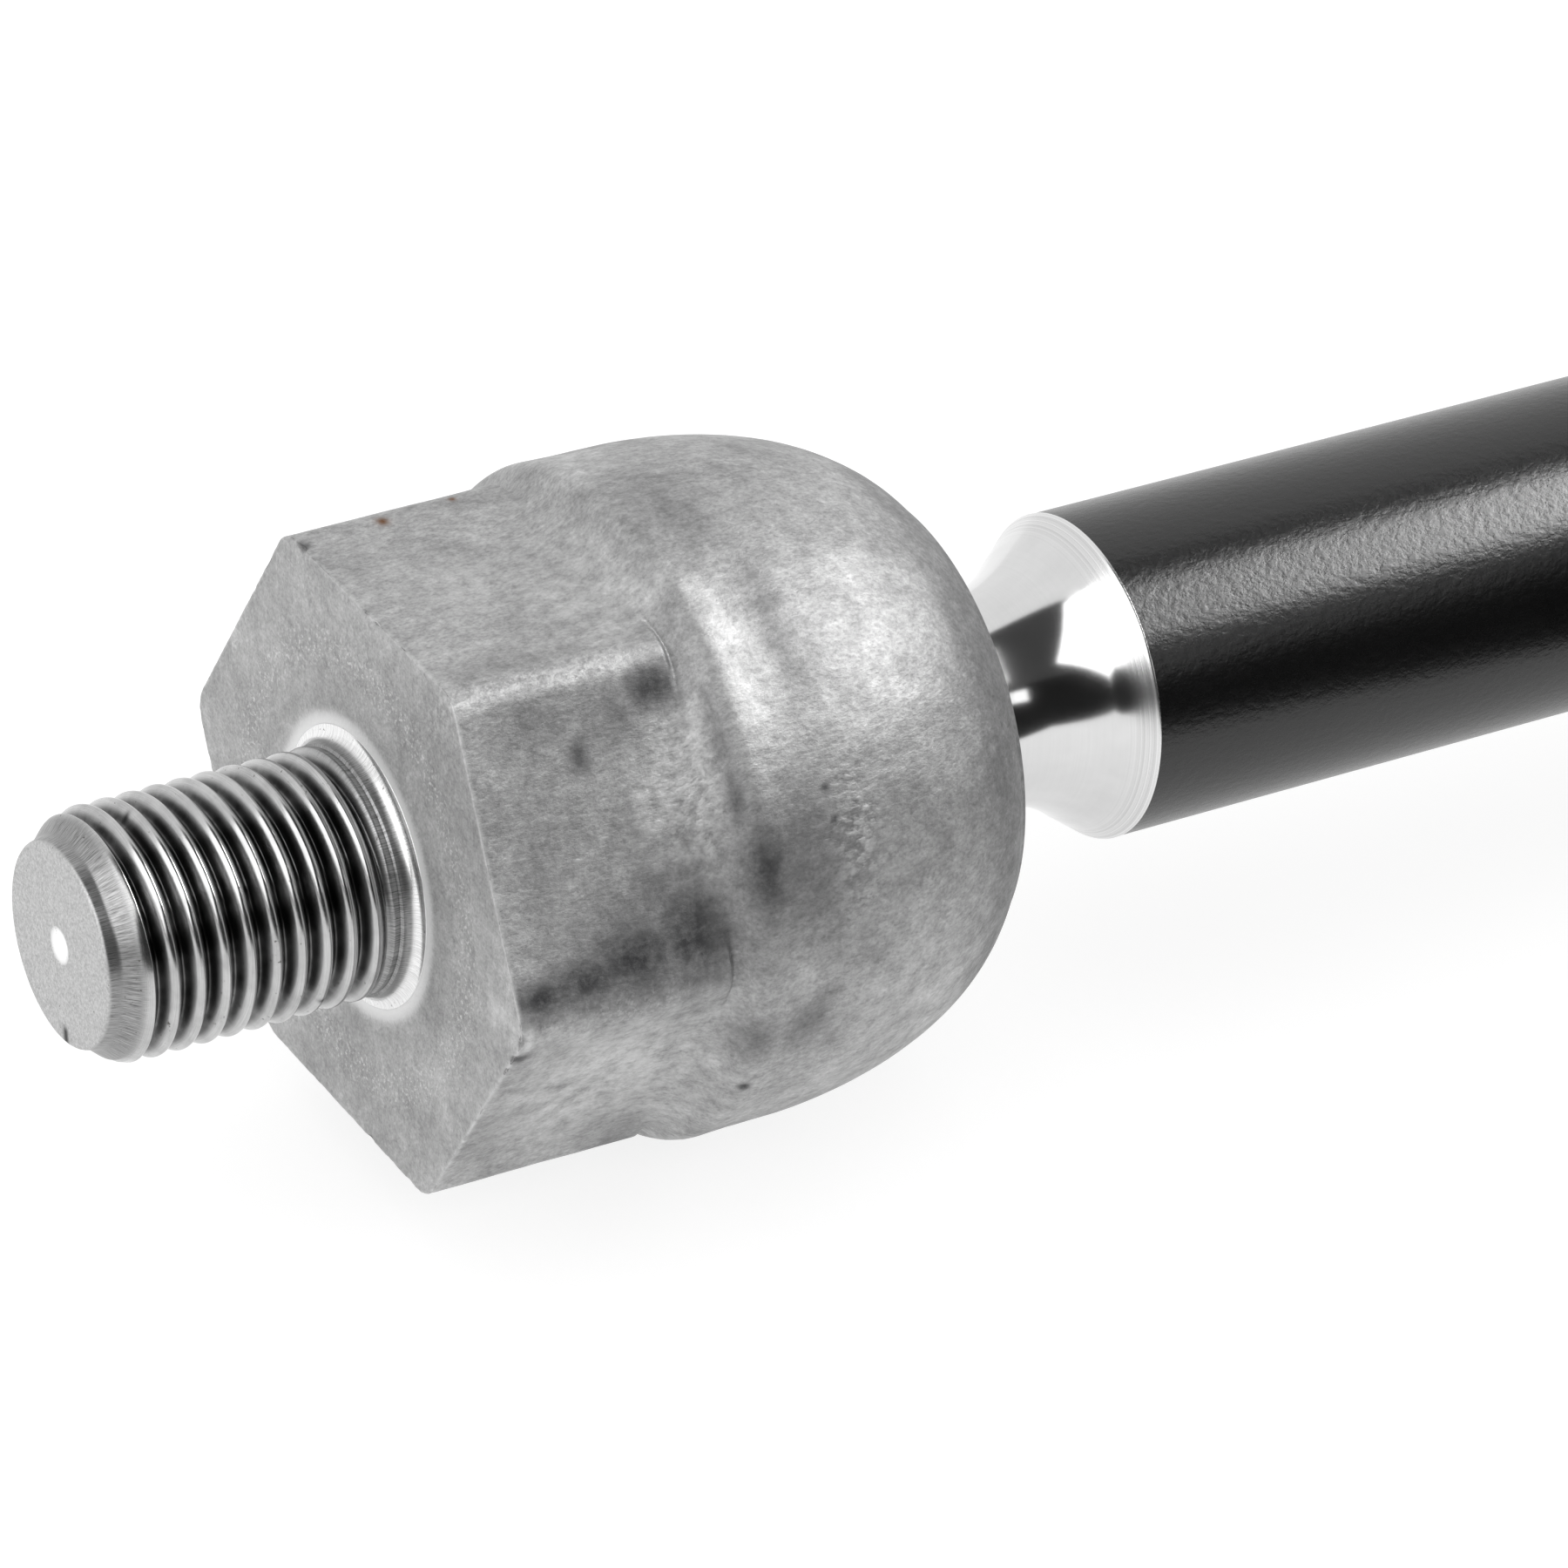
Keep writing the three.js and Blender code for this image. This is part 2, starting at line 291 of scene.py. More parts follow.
class Shader:
    """A Principled material and short ways to add nodes to it."""

    def __init__(self, name, color, roughness, metallic, **sockets):
        self.material = bpy.data.materials.new(name)
        self.material.use_nodes = True
        self.tree = self.material.node_tree
        self.base = self.tree.nodes["Principled BSDF"]
        self.set("Base Color", (*color, 1))
        self.set("Roughness", roughness)
        self.set("Metallic", metallic)
        for socket, value in sockets.items():
            self.set(socket.replace("_", " "), value)
        place = self.node("ShaderNodeTexCoord")
        self.place = place.outputs["Object"]

    def set(self, socket, value):
        if isinstance(value, bpy.types.NodeSocket):
            self.tree.links.new(value, self.base.inputs[socket])
        else:
            self.base.inputs[socket].default_value = value

    def node(self, kind, **inputs):
        made = self.tree.nodes.new(kind)
        for key, value in inputs.items():
            self.feed(made.inputs[key.replace("_", " ")], value)
        return made

    def feed(self, socket, value):
        if isinstance(value, bpy.types.NodeSocket):
            self.tree.links.new(value, socket)
        else:
            socket.default_value = value

    def math(self, operation, a, b=0.0, clamp=False):
        made = self.node("ShaderNodeMath")
        made.operation = operation
        made.use_clamp = clamp
        self.feed(made.inputs[0], a)
        self.feed(made.inputs[1], b)
        return made.outputs[0]

    def mask(self, name):
        made = self.node("ShaderNodeAttribute")
        made.attribute_name = name
        return made.outputs["Fac"]

    def stretched(self, x, y, z):
        """Object coordinates scaled along each axis."""
        made = self.node("ShaderNodeVectorMath", Vector=self.place)
        made.operation = "MULTIPLY"
        made.inputs[1].default_value = (x, y, z)
        return made.outputs[0]

    def turned_place(self):
        """Coordinates of a point in the (x, radius) plane, so that noise makes rings."""
        split = self.node("ShaderNodeSeparateXYZ", Vector=self.place)
        y, z = split.outputs["Y"], split.outputs["Z"]
        squares = self.math("ADD", self.math("MULTIPLY", y, y), self.math("MULTIPLY", z, z))
        radius = self.math("SQRT", squares)
        return self.node("ShaderNodeCombineXYZ", X=split.outputs["X"], Y=radius).outputs[0]

    def noise(self, size, detail=3.0, rough=0.55, place=None, distortion=0.0):
        """Noise from 0 to 1 whose lumps are about size mm across."""
        made = self.node("ShaderNodeTexNoise", Vector=place or self.place, Detail=detail,
                         Scale=1 / (size * MM), Roughness=rough, Distortion=distortion)
        return made.outputs["Fac"]

    def ramp(self, value, *stops):
        """Maps a value through stops of (position, grey or colour)."""
        made = self.node("ShaderNodeValToRGB", Fac=value)
        elements = made.color_ramp.elements
        while len(elements) < len(stops):
            elements.new(0.5)
        for element, (position, shade) in zip(elements, stops):
            color = shade if isinstance(shade, tuple) else (shade,) * 3
            element.position = position
            element.color = (*color, 1)
        return made.outputs["Color"]

    def mix(self, factor, a, b, blend="MIX"):
        made = self.node("ShaderNodeMix")
        made.data_type = "RGBA"
        made.blend_type = blend
        self.feed(made.inputs[0], factor)
        for socket, value in zip(made.inputs[6:8], (a, b)):
            self.feed(socket, (*value, 1) if isinstance(value, tuple) else value)
        return made.outputs[2]

    def bump(self, *layers):
        """Layers of (height from 0 to 1, depth in mm), one over the other."""
        normal = None
        for height, depth in layers:
            made = self.node("ShaderNodeBump", Height=height, Distance=depth * MM)
            made.inputs["Strength"].default_value = 1
            if normal:
                self.tree.links.new(normal, made.inputs["Normal"])
            normal = made.outputs["Normal"]
        self.set("Normal", normal)


def radial_streaks(s):
    """Noise drawn out along the radius, as a turning tool and a brush leave it."""
    size, length = 0.07, 1.6
    split = s.node("ShaderNodeSeparateXYZ", Vector=s.place)
    turn = s.math("ARCTAN2", split.outputs["Z"], split.outputs["Y"])
    around = s.math("MULTIPLY", turn, STUD_BASE_R * MM)
    squares = s.math("ADD", s.math("POWER", split.outputs["Y"], 2.0),
                     s.math("POWER", split.outputs["Z"], 2.0))
    outward = s.math("ADD", s.math("SQRT", squares), split.outputs["X"])
    outward = s.math("MULTIPLY", outward, size / length)
    place = s.node("ShaderNodeCombineXYZ", X=around, Y=outward).outputs[0]
    return s.noise(size, 3, 0.7, place=place)


def forged_steel():
    """Bare forging, shot-blasted: scaly grain, cloudy patches, soot, bright edges, painted shade and
    painted highlights.
    """
    s = Shader("forged_steel", (0.4, 0.4, 0.4), 0.45, 1.0)
    clouds = s.noise(4.5, 4, 0.62, distortion=0.6)
    blots = s.noise(1.0, 4, 0.7)
    scale = s.noise(0.42, 3, 0.6, place=s.stretched(0.5, 1, 1))
    grain = s.noise(0.19, 3, 0.7, place=s.stretched(0.7, 1, 1))
    color = s.ramp(clouds, (0.3, 0.32), (0.5, 0.405), (0.7, 0.485))
    color = s.mix(1.0, color, s.ramp(blots, (0.3, 0.84), (0.7, 1.14)), "MULTIPLY")
    color = s.mix(1.0, color, s.ramp(scale, (0.35, 0.9), (0.7, 1.12)), "MULTIPLY")
    color = s.mix(1.0, color, s.ramp(grain, (0.3, 0.78), (0.5, 1.0), (0.72, 1.2)), "MULTIPLY")
    # painted highlight: the bright mask lightens the forging where light falls on it
    painted_highlight = s.math("MULTIPLY", s.mask("bright"), s.ramp(blots, (0.35, 0.2), (0.6, 1.0)))
    color = s.mix(painted_highlight, color, (0.74, 0.74, 0.74))
    crumbs = s.noise(0.42, 2, 0.55, place=s.stretched(0.6, 1, 1))
    # painted shade in the pits between the crumbs, and painted highlights on the crumb tops
    pits = s.math("MULTIPLY", s.mask("pitted"), s.ramp(crumbs, (0.42, 1.0), (0.55, 0.0)))
    color = s.mix(s.math("MULTIPLY", pits, 0.4), color, (0.1, 0.1, 0.1))
    crumb_highlights = s.math("MULTIPLY", s.mask("pitted"), s.ramp(crumbs, (0.46, 0.0), (0.66, 1.0)))
    color = s.mix(s.math("MULTIPLY", crumb_highlights, 0.7), color, (0.78, 0.78, 0.78))
    # this mask darkens the forging with soot, and with painted shade in the crease, towards the rim and
    # inside the socket's mouth
    patchiness = s.ramp(s.noise(0.9, 5, 0.7), (0.3, 0.68), (0.58, 1.0))
    soot_and_shade = s.math("MULTIPLY", s.mask("soot_and_shade"), patchiness)
    color = s.mix(soot_and_shade, color, (0.06, 0.06, 0.062))
    speck = s.ramp(s.noise(0.28, 3, 0.7), (0.54, 0.0), (0.64, 1.0))
    color = s.mix(s.math("MULTIPLY", s.mask("specks"), speck), color, (0.7, 0.7, 0.7))
    worn = s.ramp(s.noise(0.7, 4, 0.7), (0.35, 0.0), (0.55, 1.0))
    color = s.mix(s.math("MULTIPLY", s.mask("wear"), worn), color, (0.7, 0.7, 0.7))
    color = s.mix(s.mask("rust"), color, (0.16, 0.07, 0.025))
    streaks = radial_streaks(s)
    # the turned ring round the stud, painted near white: partly bare turned metal, partly a painted
    # highlight
    shine = s.math("ADD", s.mask("shine"), s.math("MULTIPLY", streaks, 0.9))
    shine = s.math("SUBTRACT", shine, 0.45)
    shine = s.math("MULTIPLY", s.mask("shine"), s.math("MULTIPLY", shine, 1.6, clamp=True))
    color = s.mix(shine, color, (0.82, 0.82, 0.82))
    s.set("Base Color", color)
    matt = s.mask("matt")
    s.set("Metallic", s.math("SUBTRACT", 1.0, s.math("MULTIPLY", matt, 0.6)))
    rough = s.math("ADD", 0.53, s.math("MULTIPLY", s.noise(1.3, 4, 0.65), 0.18))
    rough = s.math("SUBTRACT", rough, s.math("MULTIPLY", shine, 0.1))
    s.set("Roughness", s.math("ADD", rough, s.math("MULTIPLY", soot_and_shade, 0.1)))
    crumbled = s.math("MULTIPLY", crumbs, s.mask("pitted"))
    s.bump((s.noise(1.3, 3, 0.5), 0.016), (scale, 0.035), (grain, 0.024), (crumbled, 0.16))
    return s.material


def thread_steel():
    """Rolled thread and turned end: streaks round the stud, a few pits, fine grain, with painted shade
    in the roots and on the turned bands and painted highlights on the fillet and the dimple.
    """
    s = Shader("thread_steel", (0.5, 0.5, 0.5), 0.2, 1.0)
    rings = s.noise(0.05, 3, 0.6, place=s.turned_place())
    pits = s.noise(0.3, 3, 0.6)
    grain = s.noise(0.16, 3, 0.7)
    streaks = radial_streaks(s)
    matt, turned_part, shine = s.mask("matt"), s.mask("turned"), s.mask("shine")
    # painted shade in the thread's roots, darker where the groove is deeper
    root_shade = s.math("MULTIPLY", s.mask("root"), s.ramp(s.noise(1.6, 3, 0.6), (0.3, 0.75), (0.6, 1.0)))
    color = s.ramp(s.noise(2.2, 4, 0.6), (0.3, 0.42), (0.6, 0.54))
    color = s.mix(1.0, color, s.ramp(rings, (0.3, 0.86), (0.7, 1.1)), "MULTIPLY")
    grey = s.mix(1.0, (0.5, 0.5, 0.5), s.ramp(grain, (0.3, 0.72), (0.7, 1.25)), "MULTIPLY")
    color = s.mix(matt, color, grey)
    color = s.mix(root_shade, color, (0.05, 0.05, 0.05))
    # turning streaks on the chamfer and groove, painted dark: a painted reflection of the dark
    # surroundings
    streaks_and_shade = s.ramp(streaks, (0.3, 0.1), (0.7, 0.46))
    color = s.mix(turned_part, color, streaks_and_shade)
    # painted highlights: the fillet at the stud's root is painted light, and the centre-drill dimple
    # near white
    color = s.mix(shine, color, s.ramp(streaks, (0.25, 0.55), (0.6, 0.88)))
    color = s.mix(s.math("MULTIPLY", shine, matt), color, (0.95, 0.95, 0.95))
    color = s.mix(s.mask("specks"), color, (0.03, 0.03, 0.03))
    color = s.mix(s.ramp(pits, (0.67, 0.0), (0.73, 0.8)), color, (0.06, 0.055, 0.05))
    s.set("Base Color", color)
    rough = s.math("ADD", 0.15, s.math("MULTIPLY", s.noise(0.8, 4, 0.6), 0.14))
    rough = s.math("ADD", rough, s.math("MULTIPLY", turned_part, 0.16))
    s.set("Roughness", s.math("ADD", rough, s.math("MULTIPLY", matt, 0.28)))
    s.bump((s.math("MULTIPLY", grain, matt), 0.012), (rings, 0.0008), (streaks, 0.0008))
    return s.material


def bright_steel():
    """Polished ball pin: a soft mirror with turning lines towards the lip of the flare."""
    s = Shader("bright_steel", (0.68, 0.68, 0.68), 0.12, 1.0)
    lines = s.noise(0.09, 3, 0.65, place=s.turned_place())
    marks = s.mask("marks")
    smear = s.noise(2.5, 3, 0.6, place=s.stretched(0.4, 1, 1))
    polished = s.ramp(smear, (0.3, 0.64), (0.7, 0.7))
    s.set("Base Color", s.mix(marks, polished, s.ramp(lines, (0.3, 0.5), (0.65, 0.8))))
    rough = s.math("ADD", 0.1, s.math("MULTIPLY", smear, 0.06))
    s.set("Roughness", s.math("ADD", rough, s.math("MULTIPLY", marks, 0.14)))
    s.bump((s.math("MULTIPLY", lines, marks), 0.0015), (s.noise(1.5, 2), 0.0006))
    return s.material


def black_coating():
    """Satin black coat on a drawn bar, with a fine leathery grain."""
    s = Shader("black_coating", (0.002, 0.002, 0.0021), 0.3, 0.0, IOR=1.53)
    leather = s.noise(0.42, 3, 0.65, place=s.stretched(0.7, 1, 1))
    swell = s.noise(3.0, 2, 0.5, place=s.stretched(0.3, 1, 1))
    s.set("Base Color", s.ramp(s.noise(5, 4, 0.6), (0.3, 0.0014), (0.7, 0.0028)))
    s.set("Roughness", s.math("ADD", 0.22, s.math("MULTIPLY", leather, 0.1)))
    s.bump((leather, 0.025), (swell, 0.004))
    return s.material


def black_thread():
    """Thread rolled through the black coat, worn grey on its crests."""
    s = Shader("black_thread", (0.06, 0.06, 0.062), 0.34, 1.0)
    rings = s.noise(0.07, 3, 0.6, place=s.turned_place())
    wear = s.math("MULTIPLY", s.mask("wear"), s.ramp(s.noise(0.7, 4, 0.65), (0.35, 0.1), (0.65, 1.0)))
    color = s.ramp(s.noise(1.8, 4, 0.6), (0.3, 0.045), (0.7, 0.1))
    s.set("Base Color", s.mix(wear, color, (0.42, 0.42, 0.42)))
    s.set("Roughness", s.math("ADD", 0.24, s.math("MULTIPLY", s.noise(0.5, 3), 0.2)))
    s.bump((rings, 0.006))
    return s.material


def plated_steel():
    """Zinc plating, passivated: pale, with a faint yellow cast and handling marks."""
    s = Shader("plated_steel", (0.5, 0.49, 0.45), 0.3, 1.0)
    clouds = s.noise(3.5, 4, 0.6)
    color = s.ramp(clouds, (0.3, (0.47, 0.455, 0.4)), (0.55, (0.56, 0.55, 0.51)),
                   (0.75, (0.58, 0.56, 0.46)))
    wear = s.math("MULTIPLY", s.mask("wear"), s.ramp(s.noise(0.6, 4), (0.4, 0.0), (0.65, 1.0)))
    s.set("Base Color", s.mix(wear, color, (0.74, 0.73, 0.7)))
    s.set("Roughness", s.math("ADD", 0.2, s.math("MULTIPLY", s.noise(0.8, 4, 0.6), 0.2)))
    s.bump((s.noise(0.5, 4, 0.6), 0.012))
    return s.material


def spring_steel():
    """Hardened and oiled steel, dark, with concentric grinding marks."""
    s = Shader("spring_steel", (0.13, 0.13, 0.14), 0.32, 1.0)
    rings = s.noise(0.14, 3, 0.6, place=s.turned_place())
    s.set("Base Color", s.ramp(s.noise(2.5, 4), (0.3, (0.1, 0.1, 0.11)), (0.7, (0.2, 0.2, 0.21))))
    s.set("Roughness", s.math("ADD", 0.24, s.math("MULTIPLY", rings, 0.16)))
    s.bump((rings, 0.006))
    return s.material


def bearing_plastic():
    """Natural acetal: waxy off-white with faint flow marks."""
    s = Shader("bearing_plastic", (0.74, 0.7, 0.6), 0.42, 0.0, Subsurface_Weight=0.2)
    s.set("Subsurface Radius", (1.2 * MM, 0.9 * MM, 0.6 * MM))
    s.set("Base Color", s.ramp(s.noise(3, 4), (0.3, (0.7, 0.66, 0.55)), (0.7, (0.79, 0.75, 0.66))))
    s.set("Roughness", s.math("ADD", 0.36, s.math("MULTIPLY", s.noise(0.5, 3), 0.14)))
    s.bump((s.noise(0.35, 3), 0.01))
    return s.material


def grease():
    """Amber grease with soft ridges."""
    s = Shader("grease", (0.42, 0.25, 0.05), 0.18, 0.0, Transmission_Weight=0.35, IOR=1.47)
    ridges = s.noise(0.8, 4, 0.6, distortion=0.8)
    s.set("Base Color", s.ramp(ridges, (0.3, (0.33, 0.18, 0.03)), (0.7, (0.5, 0.32, 0.08))))
    s.set("Roughness", s.math("ADD", 0.12, s.math("MULTIPLY", ridges, 0.14)))
    s.bump((ridges, 0.03))
    return s.material


# --- housing: rack stud, hexagon and socket ---------------------------------------------

# dents in the forging: x and angle in degrees from +Y, then radius and depth in mm
DENTS = [
    (0.0, 181, 0.8, 0.2), (0.0, 186, 0.6, 0.16), (0.1, 178, 0.5, 0.1), (0.0, 190, 0.5, 0.14),
    (0.1, 62, 0.5, 0.1), (0.1, 65, 0.6, 0.15), (0.1, 69, 0.4, 0.08), (0.1, 89, 0.5, 0.08),
    (0.2, 94, 0.4, 0.1), (9.4, 143, 0.5, 0.04), (14.7, 205, 0.45, 0.06), (0.1, 316, 0.7, 0.12),
    (22.0, 28, 1.0, 0.05), (25.0, 248, 0.9, 0.06), (0.1, 260, 0.6, 0.1), (7.0, 298, 0.5, 0.05),
]

# soot and painted shade on the forging: x and angle in degrees, half-length and half-width in mm,
# strength
SOOT_AND_SHADE = [
    (1.6, 174.5, 2.2, 1.1, 1.0), (4.2, 173.5, 3.0, 1.4, 1.0), (7.5, 172, 3.6, 2.2, 1.0),
    (10.8, 171, 2.6, 3.0, 1.0), (5.5, 168, 4.5, 2.4, 0.4),
    (14.8, 161, 1.5, 3.2, 0.9), (17.2, 161, 2.6, 3.8, 0.55), (11.4, 126, 1.8, 1.2, 1.0),
    (9.6, 128, 2.6, 1.6, 0.5), (6.6, 134, 0.7, 1.0, 0.8), (19.1, 155.5, 0.3, 0.3, 1.0),
    (17.6, 192.5, 1.6, 1.8, 0.6), (14.5, 193.5, 1.4, 1.6, 0.6), (17.5, 94, 2.0, 3.4, 0.3),
    (9.6, 163, 2.4, 2.2, 0.5), (4.5, 128, 3.0, 1.2, 0.3), (3.0, 150, 2.0, 4.0, 0.25),
    (0.3, 65, 0.35, 0.35, 0.9), (14.7, 205.5, 0.35, 0.35, 0.9), (20.0, 327, 3.0, 6.0, 0.5),
    (18.9, 122, 0.9, 5.0, 0.3), (0.5, 186, 0.5, 0.4, 0.9), (18.9, 150, 0.3, 0.3, 0.9),
    (8.0, 18, 4.0, 2.0, 0.4), (5.0, 283, 3.0, 3.0, 0.4), (11.0, 238, 2.0, 3.0, 0.4),
]

# painted highlights: lighter patches where light falls on the forging, as x and angle in degrees,
# half-length and half-width in mm, strength
PAINTED_HIGHLIGHTS = [
    (16.2, 122, 1.3, 3.0, 0.42), (16.0, 130, 1.0, 2.4, 0.36), (24.0, 200, 6.0, 6.0, 0.25),
    (11.3, 148, 1.8, 5.0, 0.6), (6.5, 88, 3.0, 2.4, 0.3), (15.0, 300, 1.6, 4.0, 0.4),
    (8.0, 205, 6.0, 7.0, 0.5), (0.5, 180, 0.5, 1.1, 1.0), (10.5, 102, 3.0, 5.0, 0.3),
]

# rust on the forging and dark specks on the stud, in the same terms
RUST = [(5.2, 64, 0.35, 0.35, 1.0), (9.7, 62.6, 0.2, 0.2, 1.0)]
STUD_SPECKS = [
    (-17.7, 259, 0.3, 0.3, 1.0), (-12.4, 62, 0.2, 0.2, 1.0), (-13.6, 84, 0.22, 0.22, 1.0),
    (-12.0, 170, 0.3, 0.3, 1.0), (-9.2, 140, 0.15, 0.15, 1.0), (-5.1, 210, 0.2, 0.2, 1.0),
]


def socket_profile():
    """Outside of the socket from inside the hexagon to the rim, then back to the bore."""
    lead_in = [(4.0, HEX_APOTHEM - 3.4), (6.5, HEX_APOTHEM - 1.0, 6.0)]
    cove = arc(COVE_X, HEX_APOTHEM + COVE_R, COVE_R, 270, 270 + COVE_TURN, 18)
    dome_end = math.degrees(math.acos((RIM_X - 0.4 - DOME_X) / DOME_HALF_LENGTH))
    dome = ellipse(DOME_X, DOME_CENTRE_R, DOME_HALF_LENGTH, DOME_HEIGHT, 88, dome_end, 60)
    front = rounded(lead_in + [(COVE_X - 0.1, HEX_APOTHEM - 0.05, 2.0), cove[1]])
    crest = (SHOULDER_X, SHOULDER_R, 1.6)
    shoulder = rounded([cove[-1], crest, (SHOULDER_X + 2.4, 18.87, 3.0), dome[0]])
    inside = rounded([
        dome[-1], (RIM_X, dome[-1][1] - 0.35, 0.3), (RIM_X, RIM_MOUTH_R, 0.3),
        (BORE_END_X, RIM_THROAT_R, 0.2), (BORE_END_X, BORE_R), (BORE_FLOOR_X, BORE_R),
        (BORE_FLOOR_X, 0),
    ])
    outside = front[:-1] + cove[1:] + shoulder[1:-1] + dome
    return refined(outside, 0.2), refined(inside[1:], 0.5)


def housing_rings(theta):
    """x and radius of each ring of the hexagon and socket, from the stud's root on."""
    hexagon = hex_radius(theta, HEX_APOTHEM, HEX_CORNER_R)
    edge = HEX_EDGE_R
    xs, radii = [], []

    def add(x, radius):
        xs.append(np.full(theta.shape, float(x)))
        radii.append(np.broadcast_to(radius, theta.shape).astype(float))

    root_r = STUD_BASE_R - 0.05
    add(3.0, 0)
    add(3.0, root_r)
    for t in np.linspace(0, 1, 80):
        add(0, root_r + (hexagon - edge - root_r) * t)
    for turn in np.radians(np.linspace(18, 90, 5)):
        add(edge * (1 - math.cos(turn)), hexagon - edge * (1 - math.sin(turn)))
    outside, inside = socket_profile()
    for x in np.arange(edge + 0.15, outside[0][0], 0.2):
        add(x, hexagon)
    for x, radius in outside:
        fade = 1 - smooth_step(HEX_END_X - 1.6, HEX_END_X, x)
        blend = 0.5 * smooth_step(4.0, 9.0, x) * fade
        body = hexagon * fade + (HEX_APOTHEM - 1) * (1 - fade)
        add(x, smooth_max(body, radius, blend) if fade > 0 else radius)
    for x, radius in inside:
        add(x, radius)
    return np.array(xs), np.array(radii)


def forge(piece):
    """Presses lumps, dents and a ragged front edge into the forging, always inwards."""
    points = coordinates(piece)
    theta, radius = polar(points)
    face = (points[:, 0] < 0.05) & (radius > STUD_BASE_R)
    outer = (radius > HEX_APOTHEM - 0.6) | ((points[:, 0] > 20) & (radius > 12.6))
    where = np.nonzero((outer & (points[:, 0] < RIM_X - 0.2)) | face)[0]
    spots, face, radius = points[where], face[where], radius[where]
    lumps = 0.03 * noise_at(spots, 5.0, 1) + 0.012 * noise_at(spots, 1.8, 2)
    lumps += 0.007 * noise_at(spots * [0.5, 1, 1], 0.55, 3)
    depth = np.maximum(0.045 - lumps, 0)
    depth *= np.where(face, 0.5 * smooth_step(9.6, 11.5, radius), 1)
    hexagon = hex_radius(theta[where], HEX_APOTHEM, HEX_CORNER_R)
    near_edge = bell(radius, hexagon, 0.3) * bell(spots[:, 0], 0, 0.3)
    ragged = np.maximum(noise_at(spots, 0.9, 4) - 0.15, 0) + 0.4 * np.maximum(noise_at(spots, 0.3, 5), 0)
    depth += 0.12 * near_edge * ragged
    for x, degrees, size, deep in DENTS:
        along, across = distance_on_surface(spots, x, degrees)
        inward = np.where(face, hexagon - radius, 0)
        fall = 1 - (along**2 + across**2 + inward**2) / size**2
        depth += deep * np.maximum(fall, 0) ** 2
    radial = np.stack([0 * radius, spots[:, 1], spots[:, 2]], axis=1) / radius[:, None]
    points[where] = spots + np.where(face[:, None], [1.0, 0, 0], -radial) * depth[:, None]
    set_coordinates(piece, points)


def paint_forging(piece):
    """Masks for worn edges, soot and painted shade, painted highlights, rust, specks and the turned ring
    round the stud.
    """
    points = coordinates(piece)
    x = points[:, 0]
    theta, radius = polar(points)
    degrees = np.degrees(theta)
    outside = radius > HEX_APOTHEM - 1.5
    in_mouth = (radius < RIM_MOUTH_R + 0.2) & (x > HEX_END_X)
    hexagon = hex_radius(theta, HEX_APOTHEM, HEX_CORNER_R)
    front_edge = bell(x, 0, 0.12) * bell(radius, hexagon, 0.14)
    face_ring = bell(radius, 12.2, 1.3) * (x < 0.1)
    to_corner = np.abs((theta + math.pi / 6) % (math.pi / 3) - math.pi / 6) * radius
    corners = bell(to_corner, 0, 0.9) * smooth_step(12.5, 8.0, x) * outside
    pit_cluster = 0.75 * bell(x, 20.4, 1.5) * bell(degrees, 160, 12.6)
    scaly_cove = 0.5 * bell(x, 11.8, 1.9) * bell(degrees, 146, 20.6)
    rough_corner = 0.25 * corners * bell(degrees, 120, 17.2)
    pitted = np.maximum(np.maximum(pit_cluster, scaly_cove), rough_corner)
    # painted shade towards the rim, where the dome turns away from the light
    rim_shade = 0.45 * smooth_step(28.0, 31.5, x) * (radius > RIM_MOUTH_R)
    # painted shade along the crease where the cove meets the shoulder
    crest_shade = bell(x, 13.9, 0.5) * (0.15 + 0.5 * bell(degrees, 148, 28.6))
    crest_shade = np.clip(crest_shade * (0.6 + 0.8 * noise_at(points, 2.2, 7)), 0, 1)
    soot_and_shade = np.maximum(soft_spots(points, SOOT_AND_SHADE), crest_shade) * outside
    soot_and_shade = np.maximum(soot_and_shade, rim_shade) * smooth_step(0.02, 0.12, x)
    add_mask(piece, "wear", 0.8 * front_edge)
    add_mask(piece, "specks", np.maximum(0.3 * corners, 0.8 * face_ring))
    add_mask(piece, "pitted", pitted * outside)
    add_mask(piece, "matt", smooth_step(0.3, 0.05, x))
    # painted shade inside the socket's mouth
    add_mask(piece, "soot_and_shade", np.where(in_mouth, 0.7, soot_and_shade))
    # painted highlights: lighter patches where light falls on the forging
    add_mask(piece, "bright", soft_spots(points, PAINTED_HIGHLIGHTS) * outside)
    add_mask(piece, "rust", soft_spots(points, RUST) * outside)
    add_mask(piece, "shine", smooth_step(9.3, 7.9, radius) * (x < 0.5))


def make_housing():
    theta = angles(864)
    x, radius = housing_rings(theta)
    piece = ring_mesh("housing_body", x, radius)
    forge(piece)
    paint_forging(piece)
    return piece


